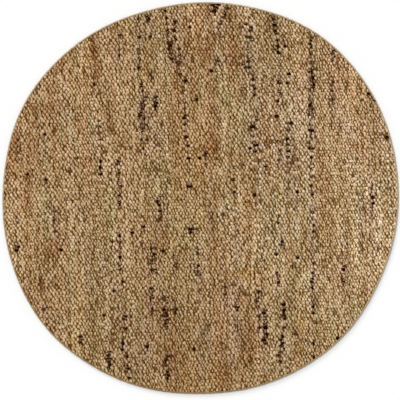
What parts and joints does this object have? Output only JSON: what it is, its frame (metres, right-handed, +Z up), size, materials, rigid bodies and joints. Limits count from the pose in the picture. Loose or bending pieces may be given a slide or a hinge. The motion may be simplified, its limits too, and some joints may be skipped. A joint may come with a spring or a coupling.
{
  "type": "round woven jute rug",
  "caption": "Flat round rug of thick mottled jute yarn in a plain weave, with a narrow bound edge and a slightly uneven outline.",
  "frame": {"origin": "middle of the outline's bounding box, on the floor under the rug", "axes": "+Z up out of the walked-on face, +Y along the thick weft yarns (up in the picture), +X along the warp threads"},
  "size_m": [1.4966, 1.4792, 0.011],
  "materials": {
    "jute_field": "coarse mottled jute yarn, matt, tan with brown, olive, grey and near-black flecks",
    "jute_binding": "greyish beige jute overcast round the cut edge, matt"
  },
  "bodies": {
    "root": {"woven_field": "jute_field", "edge_binding": "jute_binding"}
  },
  "joints": []
}
